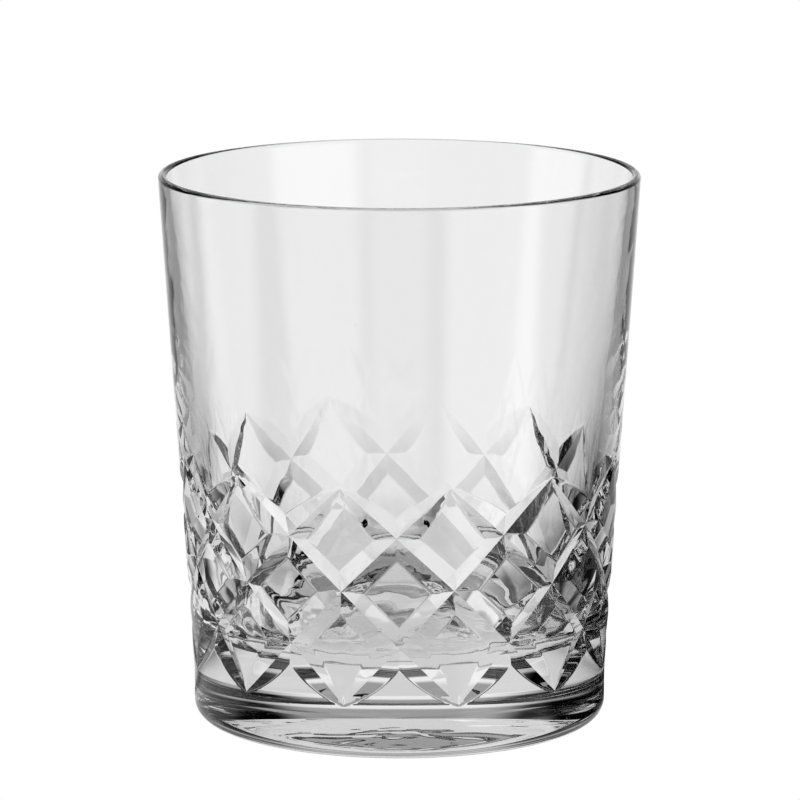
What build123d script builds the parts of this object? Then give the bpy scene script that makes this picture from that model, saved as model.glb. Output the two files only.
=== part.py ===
"""Whiskey tumbler: one heavy piece of cut crystal with a lattice of V-grooves round its lower half.

Frame: origin at the centre of the resting face, +Z up along the axis of the glass, millimetres.
"""
from build123d import *
from math import asin, atan, cos, radians, sin, tan
import os

# ---- body of revolution ----
height = 96.5            # resting face to the top of the lip
rim_radius = 42.0        # outside, just under the lip
foot_radius = 36.2       # the foot is a short upright band, and the taper starts above it
foot_band_top = 8.4
foot_corner = 3.0        # rounding between the upright band and the resting face
lip_thickness = 1.5      # fire-polished: the lip is a full round
wall_at_cut_top = 3.6    # wall thickness level with the top tips of the grooves
floor_height = 14.8      # solid glass from the table to the middle of the floor
floor_corner = 6.0       # rounding between the inner wall and the floor
floor_dish = 0.8         # the floor is this much lower in the middle than at its edge
dome_radius = 31.0       # domed hollow under the glass, inside the resting ring
dome_height = 4.0
level_spot = 0.5         # both ball-shaped faces end in a level spot this far out from the axis

# ---- cut lattice: two mirrored sets of V-grooves that cross ----
cut_top = 48.0           # height of the upper tips
cut_bottom = 9.7         # height of the lower tips
marks = 12               # grooves in each set
groove_depth = 0.95      # at the middle of a groove
groove_half_angle = 72.3 # the wheel's edge, each side of its middle plane
run_out = 0.21           # share of a groove's length, at each end, where the bed eases out
marks_spanned = 2        # a groove ends this many marks further round than it starts
# The tips are set out round the glass by hand, so they stray a little; all in degrees.
upper_first = 16.9       # azimuth the upper tips are set out from
upper_drift = 4.0        # they creep by this much either way round the glass
upper_drift_from = 15.0  # azimuth where that creep is furthest back
plate_error = 1.5        # the dividing plate's own error, which comes round every fourth mark
plate_error_mark = 3     # number of a mark it pushes furthest on
lower_first = 15.5       # azimuth the lower tips are set out from
lower_drift = 3.0        # they creep by this much either way round the glass
wheel_reach = 1.8        # how far the wheel's two flanks rise above its edge
overrun = 0.05           # share of its length that the wheel travels past each tip
stations = 8             # places along a groove where the wheel's edge is drawn

# ---- worked out from the above ----
lip_radius = lip_thickness / 2
lip_centre_z = height - lip_radius
inner_lip_r = rim_radius - lip_thickness
taper = (rim_radius - foot_radius) / (lip_centre_z - foot_band_top)
inner_cut_r = foot_radius + taper * (cut_top - foot_band_top) - wall_at_cut_top
inner_slope = (inner_lip_r - inner_cut_r) / (lip_centre_z - cut_top)
full_turn = 360.0
step = full_turn / marks


def outer_radius(z):
    """Outside radius of the uncut blank at height z, above the foot band."""
    return foot_radius + taper * (z - foot_band_top)


def inner_radius(z):
    """Radius of the straight inner wall at height z."""
    return inner_lip_r - inner_slope * (lip_centre_z - z)


def ball_middle(edge_r, rise, apex_z):
    """Point half-way along a ball-shaped hollow, from its middle on the axis to its edge."""
    ball = (edge_r ** 2 + rise ** 2) / (2 * rise)
    half_angle = asin(edge_r / abs(ball)) / 2
    return (abs(ball) * sin(half_angle), apex_z + ball * (1 - cos(half_angle)))


def on_corner(centre_r, centre_z, radius, angle):
    """Point of a corner arc, angle in radians from the outward direction."""
    return (centre_r + radius * cos(angle), centre_z + radius * sin(angle))


def blank():
    """The turned shape before cutting: solid base, tapering wall and round lip."""
    inner_lip = (inner_lip_r, lip_centre_z)
    quarter = radians(90)
    # The corner arc is tangent to the sloping inner wall and to the edge of the floor.
    lean = atan(inner_slope)
    corner_z = floor_height + floor_dish + floor_corner
    corner_r = inner_radius(corner_z) - floor_corner / cos(lean)
    corner_top = on_corner(corner_r, corner_z, floor_corner, -lean)
    corner_mid = on_corner(corner_r, corner_z, floor_corner, -(lean + quarter) / 2)
    floor_edge = (corner_r, corner_z - floor_corner)
    floor_mid = ball_middle(corner_r, floor_dish, floor_height)
    foot_r = foot_radius - foot_corner
    foot_mid = on_corner(foot_r, foot_corner, foot_corner, -quarter / 2)
    dome_mid = ball_middle(dome_radius, -dome_height, dome_height)
    with BuildPart() as turned:
        with BuildSketch(Plane.XZ):
            with BuildLine():
                Line((0, dome_height), (level_spot, dome_height))
                ThreePointArc((level_spot, dome_height), dome_mid, (dome_radius, 0))
                Line((dome_radius, 0), (foot_r, 0))
                ThreePointArc((foot_r, 0), foot_mid, (foot_radius, foot_corner))
                Line((foot_radius, foot_corner), (foot_radius, foot_band_top))
                Line((foot_radius, foot_band_top), (rim_radius, lip_centre_z))
                ThreePointArc((rim_radius, lip_centre_z), (rim_radius - lip_radius, height), inner_lip)
                Line(inner_lip, corner_top)
                ThreePointArc(corner_top, corner_mid, floor_edge)
                ThreePointArc(floor_edge, floor_mid, (level_spot, floor_height))
                Line((level_spot, floor_height), (0, floor_height))
                Line((0, floor_height), (0, dome_height))
            make_face()
        revolve(axis=Axis.Z)
    return turned.part


def upper_mark(number):
    """Azimuth of upper tip number."""
    even = step * number + upper_first
    creep = upper_drift * cos(radians(even - upper_drift_from))
    return even - creep + plate_error * cos(radians(90 * (number - plate_error_mark)))


def lower_mark(number):
    """Azimuth of lower tip number, counted on past a full turn."""
    even = step * number + lower_first
    return even + lower_drift * sin(radians(even))


def wall_point(azimuth, z):
    """Point of the uncut wall; azimuth 0 is towards -Y and grows towards +X."""
    turn = radians(azimuth)
    return Vector(outer_radius(z) * sin(turn), -outer_radius(z) * cos(turn), z)


def groove_section(upper_azimuth, lower_azimuth, share):
    """Outline of the wheel's edge where it has gone this share of the way down the groove.

    The bed is level along the middle and eases out to nothing at the tips; past them it is clear.
    """
    azimuth = upper_azimuth + (lower_azimuth - upper_azimuth) * share
    fall = cut_bottom - cut_top
    z = cut_top + fall * share
    turn = radians(azimuth)
    past = max(abs(share - 0.5) - (0.5 - run_out), 0) / run_out
    bed_depth = groove_depth * (1 - past ** 2)
    slide = radians(lower_azimuth - upper_azimuth) * outer_radius(z)
    outward = Vector(sin(turn), -cos(turn), 0)
    along = Vector(cos(turn) * slide, sin(turn) * slide, fall).normalized()
    across = along.cross(outward)
    edge = wall_point(azimuth, z) - outward * bed_depth
    flank_top = edge + outward * wheel_reach
    half_width = wheel_reach * tan(radians(groove_half_angle))
    corners = [edge, flank_top + across * half_width, flank_top - across * half_width]
    return Wire.make_polygon(corners, close=True)


def groove_cutter(upper_azimuth, lower_azimuth):
    """Everything the wheel sweeps through on one groove, square to the wall all the way."""
    sections = []
    for station in range(stations + 1):
        share = -overrun + (1 + 2 * overrun) * station / stations
        sections.append(groove_section(upper_azimuth, lower_azimuth, share))
    return Solid.make_loft(sections)


cutters = []
for number in range(marks):
    for direction in (1, -1):
        lower_azimuth = lower_mark(number + direction * marks_spanned)
        cutters.append(groove_cutter(upper_mark(number), lower_azimuth))
tumbler = blank().cut(*cutters)

os.makedirs("parts", exist_ok=True)
export_step(tumbler, "parts/tumbler.step")
print("glass, ml", round(tumbler.volume / 1000, 1))
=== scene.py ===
from math import atan2, cos, degrees, hypot, pi, radians, sin

import bpy
import numpy as np
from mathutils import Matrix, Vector


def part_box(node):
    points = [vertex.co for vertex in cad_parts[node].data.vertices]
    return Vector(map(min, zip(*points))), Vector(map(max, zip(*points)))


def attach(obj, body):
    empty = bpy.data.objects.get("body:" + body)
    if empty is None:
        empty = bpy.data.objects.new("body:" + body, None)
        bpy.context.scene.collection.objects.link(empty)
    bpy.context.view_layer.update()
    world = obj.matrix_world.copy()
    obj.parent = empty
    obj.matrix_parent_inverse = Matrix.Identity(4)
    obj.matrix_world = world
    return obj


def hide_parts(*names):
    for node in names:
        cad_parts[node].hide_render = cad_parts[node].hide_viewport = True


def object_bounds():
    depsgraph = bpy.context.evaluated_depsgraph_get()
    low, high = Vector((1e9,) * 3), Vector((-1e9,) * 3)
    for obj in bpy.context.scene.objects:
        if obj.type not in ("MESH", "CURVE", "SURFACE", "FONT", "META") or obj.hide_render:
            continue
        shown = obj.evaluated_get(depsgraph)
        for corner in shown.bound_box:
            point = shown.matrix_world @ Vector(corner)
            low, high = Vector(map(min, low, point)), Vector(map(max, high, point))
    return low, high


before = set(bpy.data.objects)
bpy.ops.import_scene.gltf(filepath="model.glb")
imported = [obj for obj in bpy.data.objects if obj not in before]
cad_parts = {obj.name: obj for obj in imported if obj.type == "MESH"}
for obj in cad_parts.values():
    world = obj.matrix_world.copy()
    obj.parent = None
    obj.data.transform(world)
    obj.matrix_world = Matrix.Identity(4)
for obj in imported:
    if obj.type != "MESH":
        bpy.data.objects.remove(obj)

cad_low, cad_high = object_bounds()


# ---- Turned blank -------------------------------------------------------------------------
# One thick gather of clear lead crystal, blown into a mould and ground true: a tapering wall,
# a fire-polished lip, a deep solid base and a shallow dish ground under the foot.

MM = 0.001
node_low, node_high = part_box("tumbler")
blank_height = node_high.z - node_low.z
rim_radius = 42.0 * MM
foot_radius = 36.2 * MM
foot_band_top = 8.4 * MM
foot_corner = 3.0 * MM
lip_thickness = 1.5 * MM
wall_at_cut_top = 3.6 * MM
cut_top = 48.0 * MM
cut_bottom = 9.7 * MM
floor_height = 14.8 * MM
floor_corner = 6.0 * MM
floor_dish = 0.8 * MM
dome_radius = 31.0 * MM
dome_height = 4.0 * MM
dome_edge = 0.05 * MM
band_blend = 1.0 * MM
straight_steps, foot_steps, floor_steps, corner_steps, lip_steps = 6, 14, 12, 20, 22

lip_radius = lip_thickness / 2
lip_centre_z = blank_height - lip_radius
taper = (rim_radius - foot_radius) / (lip_centre_z - foot_band_top)
inner_lip_r = rim_radius - lip_thickness
inner_cut_r = foot_radius + taper * (cut_top - foot_band_top) - wall_at_cut_top
inner_slope = (inner_lip_r - inner_cut_r) / (lip_centre_z - cut_top)


def outer_radius(z):
    """Outside of the uncut blank: an upright foot band that eases into the taper."""
    rise = z - foot_band_top
    return foot_radius + taper * (rise + np.sqrt(rise * rise + band_blend * band_blend)) / 2


def inner_radius(z):
    """Inside of the straight part of the wall."""
    return inner_lip_r - inner_slope * (lip_centre_z - z)


def arc(centre_r, centre_z, radius, start, end, steps, side):
    """Rows of a turned arc, (r, z, normal r, normal z), angles in degrees from the outward direction."""
    rows = []
    for k in range(steps + 1):
        a = radians(start + (end - start) * k / steps)
        rows.append((centre_r + radius * cos(a), centre_z + radius * sin(a), side * cos(a), side * sin(a)))
    return rows


def dish(edge_r, apex_z, rise, facing, steps):
    """Rows of a ball-shaped dish from near the axis out to its edge, which is rise above its middle."""
    ball = (edge_r ** 2 + rise ** 2) / (2 * rise)
    rows = []
    for k in range(1, steps + 1):
        r = edge_r * k / steps
        lean = r / ball
        level = (1 - lean * lean) ** 0.5
        rows.append((r, apex_z + ball * (1 - level), -facing * lean, facing * level))
    return rows


def foot_rows():
    """Rows from the middle of the underside out to the foot band."""
    rows = dish(dome_radius, dome_height, -dome_height, -1, foot_steps)
    rows.append((dome_radius + dome_edge, 0.0, 0.0, -1.0))
    rows += arc(foot_radius - foot_corner, foot_corner, foot_corner, -90, 0, foot_steps, 1)
    return rows


def bowl_rows(start_z):
    """Rows from start_z up the outside, over the lip and down the inside to the middle of the floor."""
    lean = atan2(taper, 1.0)
    rows = []
    for k in range(1, straight_steps + 1):
        z = start_z + (lip_centre_z - start_z) * k / straight_steps
        rows.append((float(outer_radius(z)), z, cos(lean), -sin(lean)))
    rows += arc(rim_radius - lip_radius, lip_centre_z, lip_radius, 0, 180, lip_steps, 1)[1:-1]
    inner_lean = atan2(inner_slope, 1.0)
    corner_z = floor_height + floor_dish + floor_corner
    corner_r = inner_radius(corner_z) - floor_corner / cos(inner_lean)
    bend = arc(corner_r, corner_z, floor_corner, -degrees(inner_lean), -90, corner_steps, -1)
    for k in range(straight_steps):
        z = lip_centre_z + (bend[0][1] - lip_centre_z) * k / straight_steps
        rows.append((inner_radius(z), z, -cos(inner_lean), sin(inner_lean)))
    rows += bend
    rows += dish(corner_r, floor_height, floor_dish, 1, floor_steps)[-2::-1]
    return rows


# ---- Cut lattice --------------------------------------------------------------------------
# Two mirrored sets of twelve V-grooves ground by a mitre wheel and acid-polished, so the beds
# stay crisp and the shoulders are a little soft. Each groove runs out to nothing at both tips.

groove_count = 12
full_turn = 360.0
mark_step = full_turn / groove_count
upper_first, upper_drift, upper_drift_from = 16.9, 4.0, 15.0
plate_error, plate_error_mark, plate_error_cycle = 1.5, 3, 4
lower_first, lower_drift = 15.5, 3.0
upper_marks, lower_marks = [], []
for k in range(groove_count):
    even = mark_step * k + upper_first
    creep = upper_drift * cos(radians(even - upper_drift_from))
    plate_turn = full_turn / plate_error_cycle * (k - plate_error_mark)
    upper_marks.append(even - creep + plate_error * cos(radians(plate_turn)))
    even = mark_step * k + lower_first
    lower_marks.append(even + lower_drift * sin(radians(even)))
marks_spanned = 2
groove_depth = 0.95 * MM
facet_slope = 0.32
run_out = 0.42
shoulder_blend = 0.09 * MM
mean_radius = 37.5 * MM
wall_curve = 150.0 * MM
groove_reach = 0.6


def mark_at(marks, number):
    """Azimuth of a mark in degrees, counted on past a full turn."""
    return marks[number % groove_count] + full_turn * (number // groove_count)


runs = []
for k in range(groove_count):
    for direction in (1, -1):
        lower = mark_at(lower_marks, k + direction * marks_spanned)
        runs.append((direction, radians(upper_marks[k]), radians(lower)))


def groove_bed(along, length):
    """Depth of a groove's bed: level along the middle, then easing out to nothing at the tips."""
    half = length / 2
    level = half * (1 - run_out)
    past = np.maximum(np.abs(along) - level, 0.0) / (half - level)
    return groove_depth * (1 - past * past)


def cut_depth(azimuth, z):
    """How far the wheel has gone in from the blank's surface at each point."""
    radius = outer_radius(z)
    fall = (cut_top - z) / (cut_top - cut_bottom)
    deepest = np.full_like(azimuth, -1.0)
    for direction, upper, lower in runs:
        line = upper + (lower - upper) * fall
        away = (azimuth - line + pi) % (2 * pi) - pi
        slide = (lower - upper) * mean_radius * direction
        length = hypot(slide, cut_top - cut_bottom)
        steep = (cut_top - cut_bottom) / length
        across = away * radius
        along = (fall - 0.5) * length + direction * across * (slide / length)
        off = np.abs(across) * steep
        depth = groove_bed(along, length) - off * facet_slope - off * off / wall_curve
        depth = np.where(np.abs(away) < groove_reach, depth, -1.0)
        deepest = np.maximum(deepest, depth)
    meet = np.maximum(shoulder_blend - np.abs(deepest), 0.0)
    return np.maximum(deepest, 0.0) + meet * meet / (4 * shoulder_blend)


def cut_wall(azimuth, z):
    """Points of the cut outside wall."""
    r = outer_radius(z) - cut_depth(azimuth, z)
    return np.stack([r * np.sin(azimuth), -r * np.cos(azimuth), z], -1)


def cut_normals(azimuth, z):
    """Outward directions of the cut outside wall, from its slope each way."""
    step = 0.0004 * MM
    r = outer_radius(z) - cut_depth(azimuth, z)
    turn = step / r
    by_turn = (cut_depth(azimuth - turn, z) - cut_depth(azimuth + turn, z)) / (2 * step)
    rise = outer_radius(z + step) - outer_radius(z - step)
    by_rise = (rise + cut_depth(azimuth, z - step) - cut_depth(azimuth, z + step)) / (2 * step)
    s, c = np.sin(azimuth), np.cos(azimuth)
    normal = np.stack([s - by_turn * c, -c - by_turn * s, -by_rise], -1)
    return normal / np.linalg.norm(normal, axis=-1, keepdims=True)


def crossing(i, row):
    """Where right-hand groove i meets the left-hand groove that starts row marks further round."""
    other = i + row
    upper_a = mark_at(upper_marks, i)
    lower_a = mark_at(lower_marks, i + marks_spanned)
    upper_b = mark_at(upper_marks, other)
    lower_b = mark_at(lower_marks, other - marks_spanned)
    if row < 0:
        return radians((upper_a + upper_b) / 2), top_ring_z
    if row > last_row:
        return radians((lower_a + mark_at(lower_marks, i + marks_spanned + 1)) / 2), bottom_ring_z
    t = (upper_b - upper_a) / ((lower_a - upper_a) - (lower_b - upper_b))
    return radians(upper_a + (lower_a - upper_a) * t), cut_top + (cut_bottom - cut_top) * t


last_row = 2 * marks_spanned
top_ring_z = cut_top + 9.6 * MM
bottom_ring_z = foot_corner + 0.2 * MM
# Steps across a diamond, closest together where the flanks meet the uncut wall.
half_marks = (0.0, 0.045, 0.09, 0.13, 0.155, 0.175, 0.19, 0.203, 0.216, 0.229, 0.245, 0.27, 0.31, 0.37, 0.435)
cell_marks = np.array(half_marks + (0.5,) + tuple(1 - m for m in half_marks[::-1]))
steps = len(cell_marks) - 1

triangles, azimuths, heights = [], [], []
index = {}
azimuth_parts, height_parts = 1e7, 1e9
turn_in_parts = round(2 * pi * azimuth_parts)


def keep(azimuth, z):
    """Number of the grid point at this place; points on shared edges are made once."""
    key = (round((azimuth % (2 * pi)) * azimuth_parts) % turn_in_parts, round(z * height_parts))
    if key not in index:
        index[key] = len(azimuths)
        azimuths.append(azimuth % (2 * pi))
        heights.append(z)
    return index[key]


def between(u, v, top, right, left, bottom):
    """Place inside a cell from its four corners, each an azimuth and a height."""
    return tuple((1 - u) * (1 - v) * top[k] + u * (1 - v) * right[k]
                 + (1 - u) * v * left[k] + u * v * bottom[k] for k in range(2))


for i in range(groove_count):
    for row in range(-1, last_row):
        # Corners: top, right (further round), left, bottom.
        top = crossing(i, row)
        right = crossing(i, row + 1)
        left = crossing(i - 1, row + 1)
        bottom = crossing(i - 1, row + 2)
        grid = [[keep(*between(u, v, top, right, left, bottom)) for v in cell_marks] for u in cell_marks]
        for p in range(steps):
            for q in range(steps):
                a, b, c, d = grid[p][q], grid[p][q + 1], grid[p + 1][q + 1], grid[p + 1][q]
                if (p < steps / 2) == (q < steps / 2):
                    triangles += [(a, b, c), (a, c, d)]
                else:
                    triangles += [(a, b, d), (b, c, d)]


def edge_triangle(tip, first, second, upward):
    """Fills between two neighbouring cells' outer edges, from their shared tip to the level ring."""
    rows = []
    for k, t in enumerate(cell_marks):
        p = (first[0] + (tip[0] - first[0]) * t, first[1] + (tip[1] - first[1]) * t)
        q = (second[0] + (tip[0] - second[0]) * t, second[1] + (tip[1] - second[1]) * t)
        count = steps - k
        shares = [j / max(count, 1) for j in range(count + 1)]
        rows.append([keep(p[0] + (q[0] - p[0]) * share, p[1] + (q[1] - p[1]) * share) for share in shares])
    for k in range(steps):
        wide, narrow = rows[k], rows[k + 1]
        for j in range(len(narrow)):
            faces_here = [(wide[j], narrow[j], wide[j + 1])]
            if j + 1 < len(narrow):
                faces_here.append((wide[j + 1], narrow[j], narrow[j + 1]))
            for a, b, c in faces_here:
                triangles.append((a, b, c) if upward else (a, c, b))
    return rows[0]


top_ring, bottom_ring = [], []
for i in range(groove_count):
    top_ring += edge_triangle(crossing(i, 0), crossing(i, -1), crossing(i + 1, -1), True)[:-1]
    low_left, low_right = crossing(i - 1, last_row + 1), crossing(i, last_row + 1)
    bottom_ring += edge_triangle(crossing(i, last_row), low_left, low_right, False)[:-1]

azimuths, heights = np.array(azimuths), np.array(heights)
triangles = np.array(triangles)
wall = cut_wall(azimuths, heights)

# Corner directions are taken a little inside each triangle, so that both sides of a crease keep their own.
corner_a, corner_z = azimuths[triangles], heights[triangles]
corner_a = corner_a[:, :1] + (corner_a - corner_a[:, :1] + pi) % (2 * pi) - pi
inward = 0.06
near_a = corner_a + (corner_a.mean(1, keepdims=True) - corner_a) * inward
near_z = corner_z + (corner_z.mean(1, keepdims=True) - corner_z) * inward
wall_directions = cut_normals(near_a.ravel(), near_z.ravel())

vertices = [tuple(p) for p in wall]
faces = [tuple(int(n) for n in t) for t in triangles]
directions = [tuple(d) for d in wall_directions]


def turned(ring, rows, pole_z, pole_direction, flip):
    """Carries a ring of points on through turned rows to a last point on the axis."""
    turns = [azimuths[n] for n in ring]
    previous = list(ring)
    previous_dirs = [tuple(d) for d in cut_normals(np.array(turns), heights[ring])]
    count = len(ring)
    for r, z, nr, nz in rows:
        start = len(vertices)
        vertices.extend((r * sin(a), -r * cos(a), z) for a in turns)
        dirs = [(nr * sin(a), -nr * cos(a), nz) for a in turns]
        for k in range(count):
            nxt = (k + 1) % count
            face = [(previous[k], previous_dirs[k]), (previous[nxt], previous_dirs[nxt]),
                    (start + nxt, dirs[nxt]), (start + k, dirs[k])]
            if flip:
                face.reverse()
            faces.append(tuple(n for n, d in face))
            directions.extend(d for n, d in face)
        previous, previous_dirs = list(range(start, start + count)), dirs
    pole = len(vertices)
    vertices.append((0.0, 0.0, pole_z))
    for k in range(count):
        nxt = (k + 1) % count
        face = [(previous[k], previous_dirs[k]), (previous[nxt], previous_dirs[nxt]), (pole, pole_direction)]
        if flip:
            face.reverse()
        faces.append(tuple(n for n, d in face))
        directions.extend(d for n, d in face)


turned(top_ring, bowl_rows(top_ring_z), floor_height, (0.0, 0.0, 1.0), False)
turned(bottom_ring, foot_rows()[::-1], dome_height, (0.0, 0.0, -1.0), True)

mesh = bpy.data.meshes.new("cut_tumbler")
mesh.from_pydata(vertices, [], faces)
mesh.shade_smooth()
mesh.normals_split_custom_set(directions)
tumbler = bpy.data.objects.new("cut_tumbler", mesh)
bpy.context.scene.collection.objects.link(tumbler)


# ---- Crystal ------------------------------------------------------------------------------
# Clear polished lead crystal with the faintest cool cast. The inside was only ever fire-finished,
# so it ripples, most of all over the floor; a few specks of dust sit on it and the foot is scuffed.

glass_index = 1.54
cool_cast = (0.997, 0.9955, 1.0, 1.0)
speck_colour = (0.42, 0.42, 0.43, 1.0)
ripple_size = 9.0 * MM
ripple_height = 0.9 * MM
ripple_detail, ripple_distortion = 1.5, 0.6
ripple_full_z = floor_height + 3.0 * MM
ripple_faded_z = floor_height + 16.0 * MM
ripple_up_the_wall = 0.05
wall_skin, wall_skin_fades = 1.0 * MM, 1.6 * MM
speck_spacing = 7.0 * MM
speck_size = 0.13 * MM
speck_share_missing = 0.55
scuff_height = 0.25 * MM
scuff_roughness = 0.12
haze_scale, haze_detail = 40.0, 4.0
haze_starts, haze_full = 0.5, 0.8
haze_roughness = 0.02

crystal = bpy.data.materials.new("lead_crystal")
crystal.use_nodes = True
nodes, links = crystal.node_tree.nodes, crystal.node_tree.links
shader = nodes["Principled BSDF"]
shader.inputs["Transmission Weight"].default_value = 1.0
shader.inputs["IOR"].default_value = glass_index


def sum_maker(tree):
    """Returns a short way to add a Math node to the tree: maths(operation, a, b) gives its output."""
    def maths(operation, *inputs):
        node = tree.nodes.new("ShaderNodeMath")
        node.operation = operation
        for socket, value in zip(node.inputs, inputs):
            if isinstance(value, (int, float)):
                socket.default_value = value
            else:
                tree.links.new(value, socket)
        return node.outputs[0]
    return maths


def ramp(tree, value, start, end, low=0.0, high=1.0):
    """Smooth step from low at start to high at end; start may be the larger of the two."""
    if start > end:
        start, end, low, high = end, start, high, low
    node = tree.nodes.new("ShaderNodeMapRange")
    node.interpolation_type = "SMOOTHSTEP"
    for name, number in (("From Min", start), ("From Max", end), ("To Min", low), ("To Max", high)):
        node.inputs[name].default_value = number
    tree.links.new(value, node.inputs["Value"])
    return node.outputs["Result"]


# The ripple is on the inside only: clear of the outer wall, and above the dome under the foot.
tree = crystal.node_tree
maths = sum_maker(tree)
place = nodes.new("ShaderNodeTexCoord").outputs["Object"]
split_place = nodes.new("ShaderNodeSeparateXYZ")
links.new(place, split_place.inputs[0])
px, py, pz = split_place.outputs
from_axis = maths("SQRT", maths("ADD", maths("MULTIPLY", px, px), maths("MULTIPLY", py, py)))
outside_here = maths("MULTIPLY_ADD", pz, taper, foot_radius - taper * foot_band_top)
depth_in = maths("SUBTRACT", outside_here, from_axis)
off_the_wall = ramp(tree, depth_in, wall_skin, wall_skin_fades)
above_the_dome = ramp(tree, pz, dome_height + MM, floor_height - MM)
inside = maths("MULTIPLY", off_the_wall, above_the_dome)
fading = ramp(tree, pz, ripple_full_z, ripple_faded_z, 1.0, ripple_up_the_wall)
ripple_share = maths("MULTIPLY", inside, fading)
ripple = nodes.new("ShaderNodeTexNoise")
ripple.inputs["Scale"].default_value = 1 / ripple_size
ripple.inputs["Detail"].default_value = ripple_detail
ripple.inputs["Distortion"].default_value = ripple_distortion
links.new(place, ripple.inputs["Vector"])
bump = nodes.new("ShaderNodeBump")
bump.inputs["Strength"].default_value = 1.0
bump.inputs["Distance"].default_value = ripple_height
links.new(maths("MULTIPLY", ripple.outputs["Fac"], ripple_share), bump.inputs["Height"])
links.new(bump.outputs["Normal"], shader.inputs["Normal"])

# Dust: one speck, or none, in each cell of a loose grid.
dust = nodes.new("ShaderNodeTexVoronoi")
dust.inputs["Scale"].default_value = 1 / speck_spacing
links.new(place, dust.inputs["Vector"])
dust_tone = nodes.new("ShaderNodeSeparateColor")
links.new(dust.outputs["Color"], dust_tone.inputs[0])
some = maths("GREATER_THAN", dust_tone.outputs[0], speck_share_missing)
speck_edge = speck_size / speck_spacing
speck = maths("MULTIPLY", some, ramp(tree, dust.outputs["Distance"], speck_edge, 0.5 * speck_edge))
tint = nodes.new("ShaderNodeMix")
tint.data_type = "RGBA"
links.new(speck, tint.inputs["Factor"])
tint.inputs["A"].default_value = cool_cast
tint.inputs["B"].default_value = speck_colour
links.new(tint.outputs["Result"], shader.inputs["Base Color"])

# Haze left by wiping, and the scuffed ring that the glass rests on.
smears = nodes.new("ShaderNodeTexNoise")
smears.inputs["Scale"].default_value = haze_scale
smears.inputs["Detail"].default_value = haze_detail
links.new(place, smears.inputs["Vector"])
haze = ramp(tree, smears.outputs["Fac"], haze_starts, haze_full, 0.0, haze_roughness)
scuff = ramp(tree, pz, 0.0, scuff_height, scuff_roughness, 0.0)
links.new(maths("ADD", haze, scuff), shader.inputs["Roughness"])
tumbler.data.materials.clear()
tumbler.data.materials.append(crystal)
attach(tumbler, "root")
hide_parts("tumbler")


# ---- Floor and studio light ---------------------------------------------------------------
# A white table and a white room, with no shadow anywhere: the table is not lit but glows with painted light.
# Looked at directly they are plain white; what the glass bends or mirrors meets bright boards with dark gaps
# between them, and it is those gaps that draw the edges of the glass. There is a dim light overhead.

def blend(tree, share, over, under):
    """share of over, and the rest of under."""
    maths = sum_maker(tree)
    rest = maths("SUBTRACT", 1.0, share)
    return maths("ADD", maths("MULTIPLY", share, over), maths("MULTIPLY", rest, under))


def panels(tree, x, y, ground, boards):
    """Brightness round the glass, and the distance from its axis.

    A board is (bearing, half width, softness, level); bearing 0 is in front and 90 on the right.
    """
    maths = sum_maker(tree)
    reach = maths("SQRT", maths("ADD", maths("MULTIPLY", x, x), maths("MULTIPLY", y, y)))
    level = ground
    for bearing, half_width, softness, board_level in boards:
        facing = maths("ADD", maths("MULTIPLY", x, sin(radians(bearing))),
                       maths("MULTIPLY", y, -cos(radians(bearing))))
        facing = maths("DIVIDE", facing, reach)
        share = ramp(tree, facing, cos(radians(half_width + softness)), cos(radians(half_width)))
        level = blend(tree, share, board_level, level)
    return level, reach


def seen_white(tree, level):
    """The given level for what the glass bends or mirrors, plain white for the table and room themselves."""
    direct = tree.nodes.new("ShaderNodeLightPath").outputs["Is Camera Ray"]
    return blend(tree, direct, 1.0, level)


horizon_boards = ((180, 44, 26, 0.4), (180, 9, 26, 0.93), (270, 12, 12, 0.85), (45, 16, 12, 0.85))
raised_boards = ((180, 16, 14, 0.45),)
high_boards = ((195, 20, 18, 0.4),)
overhead_light = 0.25

world = bpy.data.worlds.new("studio")
bpy.context.scene.world = world
world.use_nodes = True
tree = world.node_tree
split = tree.nodes.new("ShaderNodeSeparateXYZ")
tree.links.new(tree.nodes.new("ShaderNodeTexCoord").outputs["Generated"], split.inputs[0])
x, y, z = split.outputs
maths = sum_maker(tree)
elevation = maths("ARCSINE", z)
level = panels(tree, x, y, 0.0, horizon_boards)[0]
# A tier is (elevation where it starts, elevation where it is full, its level), in degrees.
tiers = ((5, 12, panels(tree, x, y, 0.0, raised_boards)[0]),
         (33, 42, panels(tree, x, y, 0.0, high_boards)[0]),
         (58, 66, overhead_light))
for start, full, tier_level in tiers:
    level = blend(tree, ramp(tree, elevation, radians(start), radians(full)), tier_level, level)
tree.links.new(seen_white(tree, level), tree.nodes["Background"].inputs["Strength"])
tree.nodes["Background"].inputs["Color"].default_value = (1, 1, 1, 1)

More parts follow.
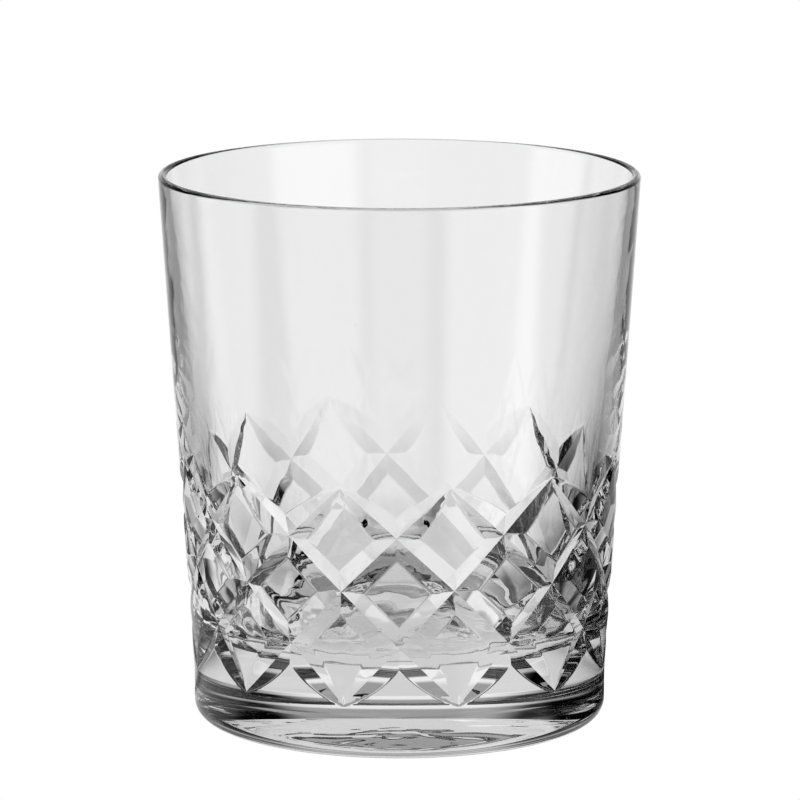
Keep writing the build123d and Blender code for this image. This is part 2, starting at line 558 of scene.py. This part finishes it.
table_half = 3.0
# Painted light on the table: its glow draws painted reflections of bright boards with dark gaps, takes other
# board levels close to the glass, and has its own level under the foot.
far_painted_boards = ((225, 12, 10, 0.6), (180, 46, 22, 0.5), (180, 10, 28, 0.97),
              (45, 18, 10, 0.93), (270, 12, 12, 0.88), (0, 8, 10, 0.3))
near_painted_boards = ((180, 12, 22, 0.76), (225, 14, 10, 0.86), (45, 14, 10, 0.85), (270, 14, 12, 0.88))
far_gap_light = 0.01
near_gap_light = 0.02
under_light = 0.74
near_reach, far_reach = 0.10, 0.17
under_reach, under_fade = 0.036, 0.042
table_drop = 0.2 * MM
s = table_half
floor_mesh = bpy.data.meshes.new("floor")
floor_mesh.from_pydata([(-s, -s, 0), (s, -s, 0), (s, s, 0), (-s, s, 0)], [], [(0, 1, 2, 3)])
floor = bpy.data.objects.new("floor", floor_mesh)
bpy.context.scene.collection.objects.link(floor)
floor.location.z = cad_low.z - table_drop
floor_painted_light = bpy.data.materials.new("painted_light_floor")
floor_painted_light.use_nodes = True
tree = floor_painted_light.node_tree
tree.nodes.clear()
split = tree.nodes.new("ShaderNodeSeparateXYZ")
tree.links.new(tree.nodes.new("ShaderNodeTexCoord").outputs["Object"], split.inputs[0])
x, y, z = split.outputs
far, reach = panels(tree, x, y, far_gap_light, far_painted_boards)
near = panels(tree, x, y, near_gap_light, near_painted_boards)[0]
level = blend(tree, ramp(tree, reach, near_reach, far_reach), far, near)
level = blend(tree, ramp(tree, reach, under_fade, under_reach), under_light, level)
# The table's brightness is painted light: an emission, plain white when looked at directly.
glow = tree.nodes.new("ShaderNodeEmission")
tree.links.new(seen_white(tree, level), glow.inputs["Strength"])
tree.links.new(glow.outputs[0], tree.nodes.new("ShaderNodeOutputMaterial").inputs["Surface"])
floor_mesh.materials.append(floor_painted_light)

cycles = bpy.context.scene.cycles
cycles.max_bounces = 32
cycles.transmission_bounces = 32
cycles.glossy_bounces = 16


# ---- Camera ------------------------------------------------------------------------------
# A long lens from a little above the rim, square to the front of the glass. The picture is shown
# with a slightly steeper tone than usual, which deepens the dark edges and leaves white alone.

tilt = radians(11.25)
stand_off = 0.968
measured_from = Vector((0, 0, 0.048))
aim = Vector((0.0001, 0, 0.0561))
lens_length, sensor_width = 248.0, 36.0
tone_gamma = 0.78
camera_data = bpy.data.cameras.new("camera")
camera = bpy.data.objects.new("camera", camera_data)
bpy.context.scene.collection.objects.link(camera)
camera_data.lens = lens_length
camera_data.sensor_width = sensor_width
camera.location = measured_from + Vector((0, -stand_off * cos(tilt), stand_off * sin(tilt)))
camera.rotation_euler = (aim - camera.location).to_track_quat("-Z", "Y").to_euler()
bpy.context.scene.camera = camera
bpy.context.scene.view_settings.view_transform = "Standard"
bpy.context.scene.view_settings.gamma = tone_gamma
